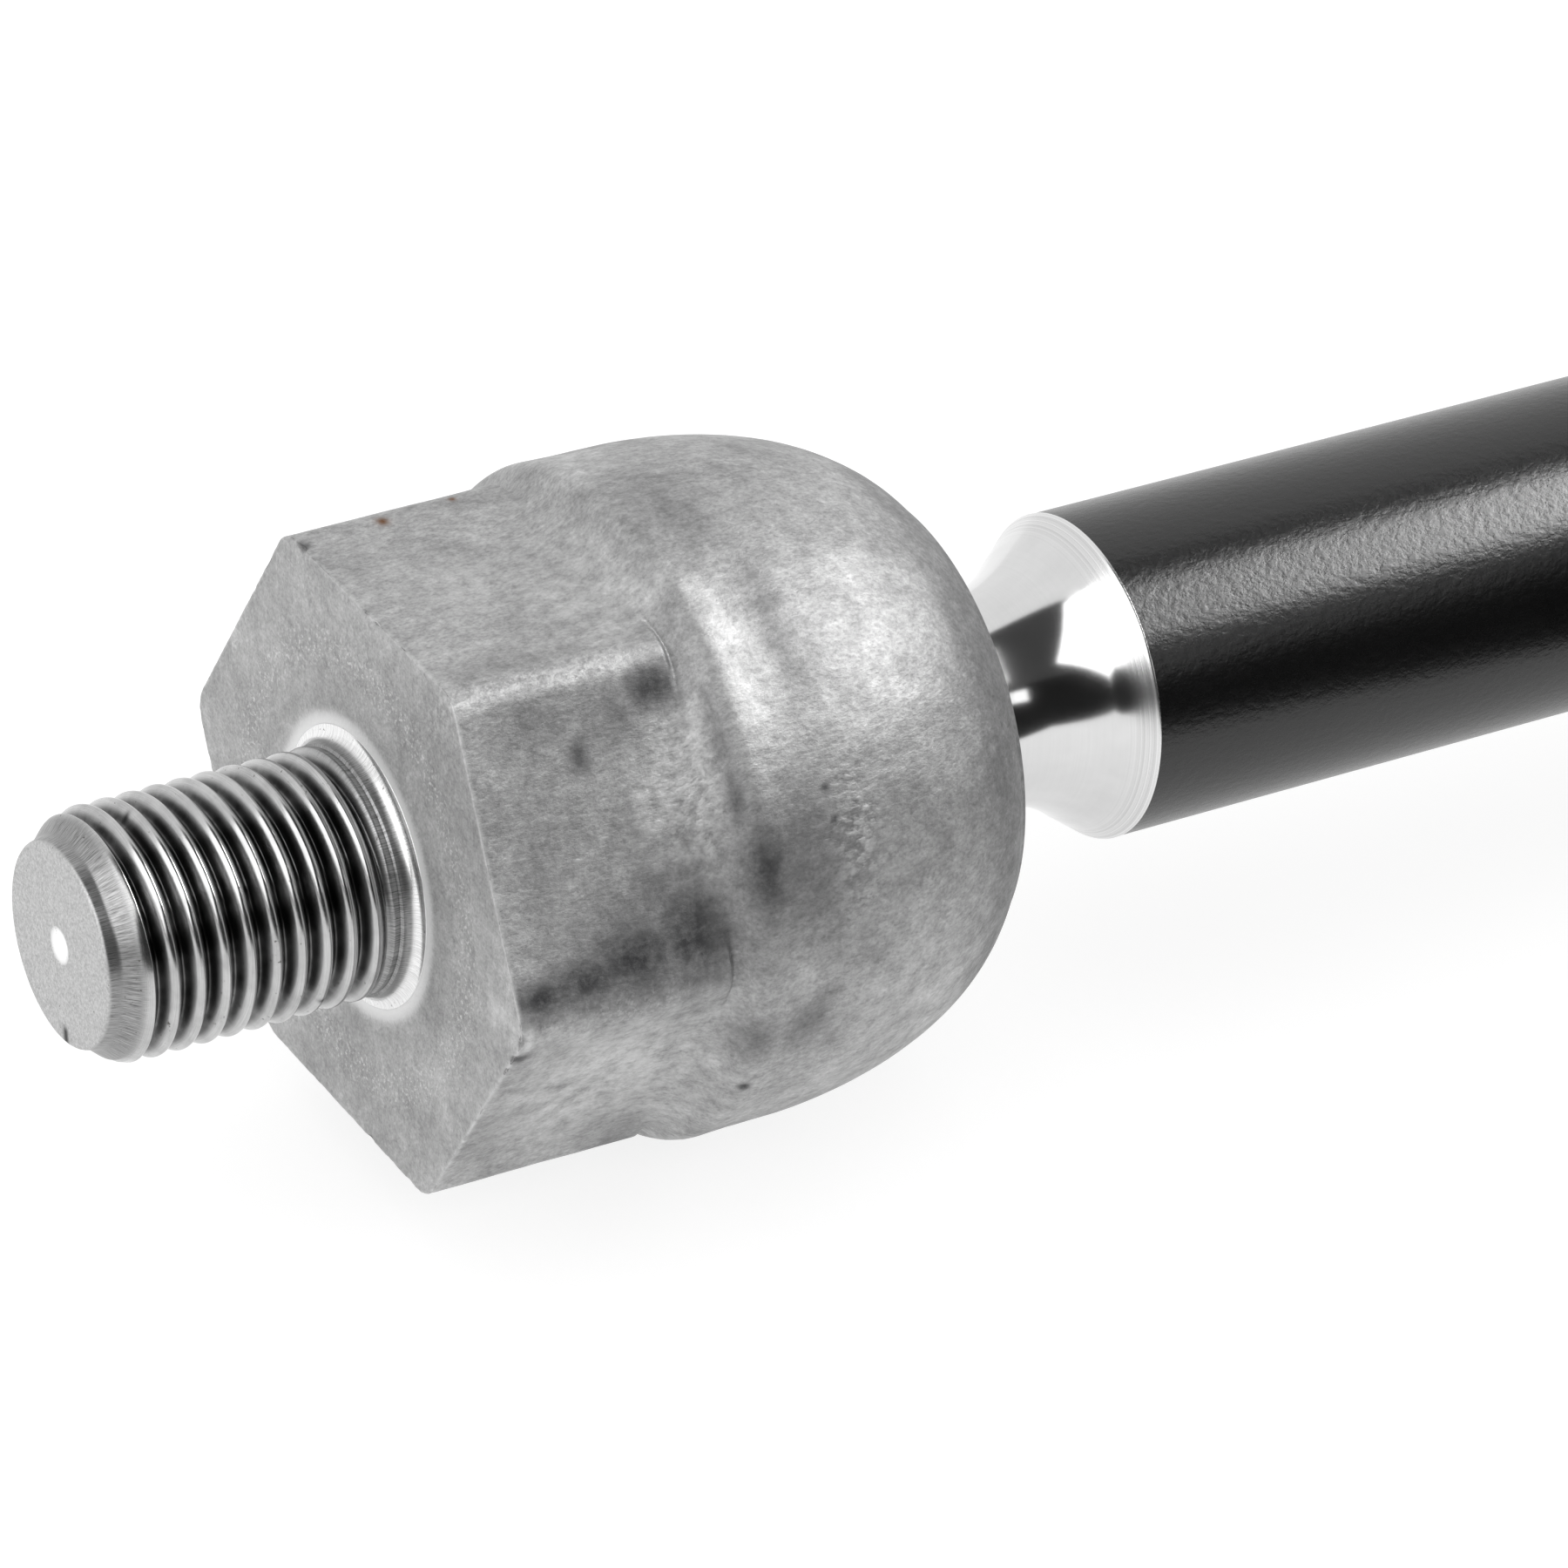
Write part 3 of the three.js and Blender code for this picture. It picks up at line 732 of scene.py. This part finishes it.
def make_stud():
    """Turned blank with a rolled thread, from the centre of its end to the hexagon."""
    tip = rounded([(-STUD_LENGTH, 5.2), (-STUD_LENGTH, 5.66, 0.22), (-16.95, 5.86, 0.5),
                   (-16.0, 6.72, 0.9), (-15.2, STUD_MAJOR_R)])
    shank = [(-1.5, STUD_MAJOR_R), (-1.25, 6.84), (STUD_RUNOUT_X - 0.05, 6.82)]
    root = arc(STUD_RUNOUT_X, STUD_BASE_R, STUD_FILLET_R, 270, 358, 20)
    root += arc(STUD_RUNOUT_X, STUD_BASE_R, STUD_FILLET_R, 359, 359.9, 1)
    outline = np.array(tip + shank + root + [(2.9, STUD_BASE_R - 0.1)])
    stations = np.unique(np.concatenate([
        np.arange(-STUD_LENGTH, STUD_RUNOUT_X, 0.05), outline[:, 0]]))
    theta = angles(288)[None, :]
    x = stations[:, None]
    envelope = np.interp(x, outline[:, 0], outline[:, 1])
    fade = smooth_step(-16.7, -15.6, x) * smooth_step(-1.0, -2.2, x)
    phase = (x - STUD_CREST_X) / STUD_PITCH - theta / TURN
    from_crest = np.abs((phase + 0.5) % 1 - 0.5)
    seam = 0.05 * smooth_step(-7.0, -3.0, x) * bell(from_crest, 0, 0.05)
    depth = (thread_wave(phase, 0.84, 0.8) + seam) * fade
    radius = np.minimum(STUD_MAJOR_R - depth, envelope)
    radius = np.where(x < -1.25, radius, envelope)
    cap_r = np.array([0.0, 0.35, 0.7, 0.92, 1.1, 1.7, 2.4, 3.1, 3.8, 4.5, 4.95, 5.2, 5.45])
    cap_x = -STUD_LENGTH + np.array([0.2, 0.17, 0.09, 0.03] + [0] * 9)
    cap = np.repeat(cap_r[:, None], theta.shape[1], axis=1)
    end = np.zeros((1, theta.shape[1]))
    x_all = np.concatenate([cap_x, stations, stations[-1:]])
    piece = ring_mesh("rack_stud", x_all[:, None], np.concatenate([cap, radius, end]))
    paint_stud(piece)
    return piece


def paint_stud(piece):
    """Masks for the end face and its dimple, the chamfer, the groove and the thread."""
    points = coordinates(piece)
    x = points[:, 0]
    spread = polar(points)[1]
    end_face = smooth_step(-STUD_LENGTH + 0.25, -STUD_LENGTH + 0.02, x)
    end_face = np.where(spread < 1.2, 1.0, end_face)
    chamfer = smooth_step(-15.7, -16.3, x) * (1 - end_face)
    groove = smooth_step(-1.9, -1.3, x) * smooth_step(-0.25, -0.5, x)
    dimple = smooth_step(1.05, 0.8, spread)
    fillet = smooth_step(-0.5, -0.2, x)
    threaded = smooth_step(-16.0, -15.2, x) * smooth_step(-0.9, -1.5, x)
    add_mask(piece, "matt", end_face)
    # the root mask marks the thread's roots for painted shade
    add_mask(piece, "root", smooth_step(0.12, 0.6, STUD_MAJOR_R - spread) * threaded)
    add_mask(piece, "specks", soft_spots(points, STUD_SPECKS) * (spread > 4.8))
    add_mask(piece, "turned", np.maximum(chamfer, groove))
    add_mask(piece, "shine", np.maximum(fillet, dimple))


# --- the other pieces -------------------------------------------------------------------


def make_ball_pin():
    """The ball, its neck and the flare, to the sharp lip where the black coat begins."""
    ball_face = math.degrees(math.acos((BALL_FACE_X - BALL_X) / BALL_R))
    neck_root = math.degrees(math.asin(NECK_R / BALL_R))
    ball = arc(BALL_X, 0, BALL_R, ball_face, neck_root, 90)
    flare = arc(NECK_END_X, NECK_R + FLARE_ARC_R, FLARE_ARC_R, 270, FLARE_END, 30)
    lip_r = COLLAR_R - COLLAR_ROUND_R
    lip = arc(COLLAR_X, lip_r, COLLAR_ROUND_R, FLARE_END - 180, 90, 16)
    profile = [(BALL_FACE_X, 0), (BALL_FACE_X, 6.8)] + ball + flare + lip
    profile += [(COLLAR_X + 0.01, COLLAR_R), (COLLAR_X + 0.01, 0)]
    piece = turned("ball_pin_fine", refined(profile, 0.25), 320)
    x = coordinates(piece)[:, 0]
    add_mask(piece, "marks", smooth_step(COLLAR_X - 1.6, COLLAR_X - 0.3, x) + 0.06)
    return piece


def make_bar():
    """The black bar, with the bellows groove and the two spanner flats."""
    start, end = BELLOWS_X
    bellows = [(start, ROD_R, 0.4), (start + BELLOWS_CHAMFER, BELLOWS_R, 0.4),
               (end - BELLOWS_CHAMFER, BELLOWS_R, 0.4), (end, ROD_R, 0.4)]
    corners = [(COAT_X, 0), (COAT_X, ROD_R), (COAT_X + 0.01, ROD_R), *bellows,
               (ROD_TAPER_X[0], ROD_R, 1.0), (ROD_TAPER_X[1], ROD_THREAD_R - 0.1, 0.3),
               (ROD_TAPER_X[1] + 1.0, ROD_THREAD_R - 0.1), (ROD_TAPER_X[1] + 1.0, 0)]
    x, radius = np.array(refined(rounded(corners), 0.5)).T
    theta = angles(320)
    radius = np.repeat(radius[:, None], len(theta), axis=1)
    middle, half = sum(FLATS_X) / 2, (FLATS_X[1] - FLATS_X[0]) / 2
    run_out = np.maximum(np.abs(x - middle) - half + 1.2, 0) ** 2 / 2.2
    flat = (FLATS_HALF + run_out)[:, None] / np.maximum(np.abs(np.sin(theta)), TINY)
    return ring_mesh("tie_rod_bar", x[:, None], -smooth_max(-radius, -flat, 0.15))


def make_rod_thread():
    """The far thread, its chamfered end and the centre hole."""
    first = ROD_TAPER_X[1] + 1.02
    stations = np.arange(first, ROD_END_X + TINY, 0.075)
    theta = angles(160)[None, :]
    x = stations[:, None]
    depth = thread_wave(x / ROD_PITCH - theta / TURN, 0.86, 0.7)
    fade = smooth_step(first, first + 2.0, x)
    chamfer = ROD_THREAD_R - np.maximum(x - (ROD_END_X - 1.2), 0)
    radius = np.minimum(ROD_THREAD_R - 0.1 * (1 - fade) - depth * fade, chamfer)
    edge = float(radius[-1].min())
    cap_r = np.array([edge - 0.3, 4.0, 1.6, 0.9, 0.0])
    cap_x = ROD_END_X - np.array([0.0, 0.0, 0.0, 0.8, 1.5])
    cap = np.repeat(cap_r[:, None], theta.shape[1], axis=1)
    start = np.zeros((1, theta.shape[1]))
    x_all = np.concatenate([[first], stations, cap_x])
    piece = ring_mesh("tie_rod_thread", x_all[:, None], np.concatenate([start, radius, cap]))
    spread = polar(coordinates(piece))[1]
    add_mask(piece, "wear", smooth_step(ROD_THREAD_R - 0.25, ROD_THREAD_R - 0.02, spread))
    return piece


def make_nut():
    """Hexagon with chamfered corners, a countersunk thread and round edges."""
    theta = angles(384)
    hexagon = hex_radius(theta, NUT_APOTHEM, NUT_CORNER_R)
    low, high = NUT_X
    corners = [(low, NUT_MOUTH_R), (low, NUT_FACE_R, 0.2), (low + NUT_CHAMFER, NUT_WIDEST_R),
               (high - NUT_CHAMFER, NUT_WIDEST_R), (high, NUT_FACE_R, 0.2), (high, NUT_MOUTH_R)]
    outside = refined(rounded(corners), 0.2)
    x = [point[0] for point in outside]
    cone = np.array([point[1] for point in outside])[:, None]
    rows = list(-smooth_max(-np.repeat(cone, len(theta), axis=1), -hexagon[None, :], 0.12))
    for station in np.arange(high, low - TINY, -0.1):
        mouth = NUT_MOUTH_R - min(station - low, high - station, 0.75)
        groove = 0.5 - thread_wave(station / ROD_PITCH - theta / TURN + 0.5, 0.5, 1.0)
        rows.append(np.maximum(mouth, NUT_BORE_R + groove))
        x.append(station)
    piece = ring_mesh("jam_nut_fine", np.array(x)[:, None], np.array(rows), closed=True)
    add_mask(piece, "wear", smooth_step(13.2, 13.6, polar(coordinates(piece))[1]))
    return piece


def make_seat(name, x_range):
    """A half seat: its inside is a sphere about the ball's centre."""
    low, high = x_range
    start, end = (math.degrees(math.acos((x - BALL_X) / SEAT_R)) for x in (high, low))
    bowl = arc(BALL_X, 0, SEAT_R, start + 1.0, end - 1.0, 40)
    corners = [(low, INSERT_R, 0.25), (high, INSERT_R, 0.25)]
    rim = [(high, bowl[0][1] + 0.25), *bowl, (low, bowl[-1][1] + 0.25)]
    return turned(name, refined(rounded(corners + rim, closed=True), 0.4, closed=True), 192, True)


def make_ring(name, corners):
    """A washer or ring, from the corners of its section."""
    profile = refined(rounded(corners, closed=True), 0.3, closed=True)
    return turned(name, profile, 192, closed=True)


def make_grease():
    """A thin zone of a sphere between the ball and the seats."""
    (inner_r, outer_r), (start, end) = GREASE_R, GREASE_DEGREES
    outer = arc(BALL_X, 0, outer_r, end, start, 40)
    inner = arc(BALL_X, 0, inner_r, start, end, 40)
    return turned("grease_film_fine", outer + inner, 192, closed=True)


def build_pieces():
    forged, spring = forged_steel(), spring_steel()
    plastic = bearing_plastic()
    finished(make_housing(), forged, "socket", "forged_steel", "rack_end_housing")
    finished(make_stud(), thread_steel(), "socket", "forged_steel", "rack_end_housing")
    finished(make_ball_pin(), bright_steel(), "rod", "bright_steel", "ball_pin")
    finished(make_bar(), black_coating(), "rod", "black_coating", "tie_rod")
    finished(make_rod_thread(), black_thread(), "rod", "black_coating", "tie_rod")
    finished(make_nut(), plated_steel(), "nut", "plated_steel", "jam_nut")
    finished(make_seat("front_bearing_seat_fine", FRONT_SEAT_X), plastic,
             "bearing", "bearing_plastic", "front_bearing_seat")
    finished(make_seat("rear_bearing_seat_fine", REAR_SEAT_X), plastic,
             "socket", "bearing_plastic", "rear_bearing_seat")
    finished(make_grease(), grease(), "lubricant", "grease", "grease_film")
    # sections of the rings: (x, radius, fillet) of each corner
    rings = {
        "closing_ring": [(28.4, 10.3, 0.15), (28.4, INSERT_R, 0.15), (30.5, INSERT_R, 0.15),
                         (30.5, 10.8, 0.1), (30.0, 10.3, 0.1)],
        "thrust_washer": [(11.1, 7.2, 0.1), (11.1, INSERT_R, 0.1), (12.1, INSERT_R, 0.1),
                          (12.1, 7.2, 0.1)],
        "disc_spring_front": [(8.1, 6.5, 0.1), (8.65, 13.2, 0.1), (9.5, 13.2, 0.1), (8.95, 6.5, 0.1)],
        "disc_spring_rear": [(10.15, 6.5, 0.1), (9.6, 13.2, 0.1), (10.45, 13.2, 0.1), (11.0, 6.5, 0.1)],
    }
    for node, corners in rings.items():
        finished(make_ring(node + "_fine", corners), spring, "socket", "spring_steel", node)


# --- camera, floor and light ------------------------------------------------------------


def make_camera():
    forward, up = Vector(CAMERA_FORWARD), Vector(CAMERA_UP)
    right = forward.cross(up).normalized()
    up = right.cross(forward).normalized()
    camera = bpy.data.objects.new("camera", bpy.data.cameras.new("camera"))
    camera.data.sensor_width = CAMERA_SENSOR
    camera.data.lens = CAMERA_LENS
    camera.data.clip_start = 0.01
    turn = Matrix((right, up, -forward.normalized())).transposed().to_4x4()
    camera.matrix_world = Matrix.Translation(Vector(CAMERA_AT) * MM) @ turn
    bpy.context.scene.collection.objects.link(camera)
    bpy.context.scene.camera = camera


def emitter(name, strength):
    """A material that glows white."""
    material = bpy.data.materials.new(name)
    material.use_nodes = True
    tree = material.node_tree
    tree.nodes.clear()
    glow = tree.nodes.new("ShaderNodeEmission")
    glow.inputs["Color"].default_value = (1, 1, 1, 1)
    glow.inputs["Strength"].default_value = strength
    out = tree.nodes.new("ShaderNodeOutputMaterial")
    tree.links.new(glow.outputs[0], out.inputs[0])
    return material


def stage_mesh(name, points, faces, material):
    """A card or floor, in metres, which is scenery and not part of the object."""
    mesh = bpy.data.meshes.new(name)
    mesh.from_pydata(points, [], faces)
    mesh.materials.append(material)
    thing = bpy.data.objects.new(name, mesh)
    bpy.context.scene.collection.objects.link(thing)
    return thing


def make_floor(height):
    """A pale light table: it glows a little, so shadows on it are soft."""
    material = bpy.data.materials.new("floor")
    material.use_nodes = True
    base = material.node_tree.nodes["Principled BSDF"]
    base.inputs["Base Color"].default_value = (0.4, 0.4, 0.4, 1)
    base.inputs["Roughness"].default_value = 0.9
    base.inputs["Specular IOR Level"].default_value = 0.0
    base.inputs["Emission Color"].default_value = (1, 1, 1, 1)
    base.inputs["Emission Strength"].default_value = 0.74
    side = FLOOR_HALF_SIDE
    corners = [(x, y, height) for x, y in ((-side, -side), (side, -side), (side, side), (-side, side))]
    stage_mesh("floor", corners, [(0, 1, 2, 3)], material)


def reflection_only(thing):
    """Seen in reflections and nowhere else, as a studio's black cards are."""
    thing.visible_camera = False
    thing.visible_diffuse = False
    thing.visible_shadow = False
    thing.visible_transmission = False


def direction(x, around):
    """Unit vector with the given x, at an angle in degrees about the X axis from +Y."""
    turn = math.radians(around)
    flat = math.sqrt(1 - x * x)
    return Vector((x, flat * math.cos(turn), flat * math.sin(turn)))


def sky_patch(name, x_range, around_range, radius, strength):
    """Part of a big sphere round the object that only reflections see."""
    columns, rows = 24, 12
    points, faces = [], []
    for i in range(rows + 1):
        around = around_range[0] + (around_range[1] - around_range[0]) * i / rows
        for j in range(columns + 1):
            x = x_range[0] + (x_range[1] - x_range[0]) * j / columns
            points.append(STUDIO_CENTRE + direction(x, around) * radius)
    for i in range(rows):
        for j in range(columns):
            a = i * (columns + 1) + j
            faces.append((a, a + 1, a + columns + 2, a + columns + 1))
    reflection_only(stage_mesh(name, points, faces, emitter(name, strength)))


def light_card(name, corners, distance, strength):
    """A flat light that only reflections see, given by the directions of its corners."""
    points = [STUDIO_CENTRE + corner.normalized() * distance for corner in corners]
    reflection_only(stage_mesh(name, points, [(0, 1, 2, 3)], emitter(name, strength)))


def box_corners(x_range, around_range):
    """Directions of the corners of a card, from its range of x and of angle about X."""
    (near, far), (first, last) = x_range, around_range
    return [direction(near, first), direction(far, first), direction(far, last), direction(near, last)]


def make_studio(height):
    """What the bright neck and the black bar mirror: a dark room behind the camera, with
    a big window to the left, a strip light overhead to the right, a small card, and a
    dark near half of the floor."""
    sky_patch("dark_room_high", (-0.97, 0.97), (73.5, 139.5), 2.2, 0.06)
    sky_patch("dark_room_low", (-0.97, 0.97), (139.5, 198.5), 2.2, 0.012)
    window = [(-0.5, 0.2, 0.84), (-0.24, -0.6, 0.77), (-0.92, -0.5, 0.07), (-1.0, 0.37, 0.33)]
    light_card("window", [Vector(corner) for corner in window], 1.8, 2.4)
    light_card("strip", box_corners((0.53, 0.72), (91, 131)), 1.6, 19.5)
    light_card("small_card", box_corners((0.27, 0.5), (144, 156)), 1.4, 1.7)
    # the dark card over the near floor, seen only in reflections, stands in for the shaded near floor
    # and the dark room beyond it: painted shade in reflections
    far, side, lift = -3.0, 3.0, height + MM
    near = [(side, -0.02), (0.11, -0.02), (0.085, -0.04), (0.045, -0.2), (-side, -0.17)]
    card = [(-side, far, lift), (side, far, lift)] + [(x, y, lift) for x, y in near]
    dark = emitter("dark_floor", 0.02)
    reflection_only(stage_mesh("dark_floor", card, [tuple(range(len(card)))], dark))


def make_light():
    """An even white surround, and colours shown as they are."""
    world = bpy.data.worlds.new("studio")
    world.use_nodes = True
    sky = world.node_tree.nodes["Background"]
    sky.inputs["Color"].default_value = (1, 1, 1, 1)
    sky.inputs["Strength"].default_value = 1.0
    bpy.context.scene.world = world
    bpy.context.scene.view_settings.view_transform = "Standard"


FLOOR_Z = (cad_box[0].z / MM - FLOOR_GAP) * MM

make_camera()
build_pieces()
make_floor(FLOOR_Z)
make_studio(FLOOR_Z)
make_light()
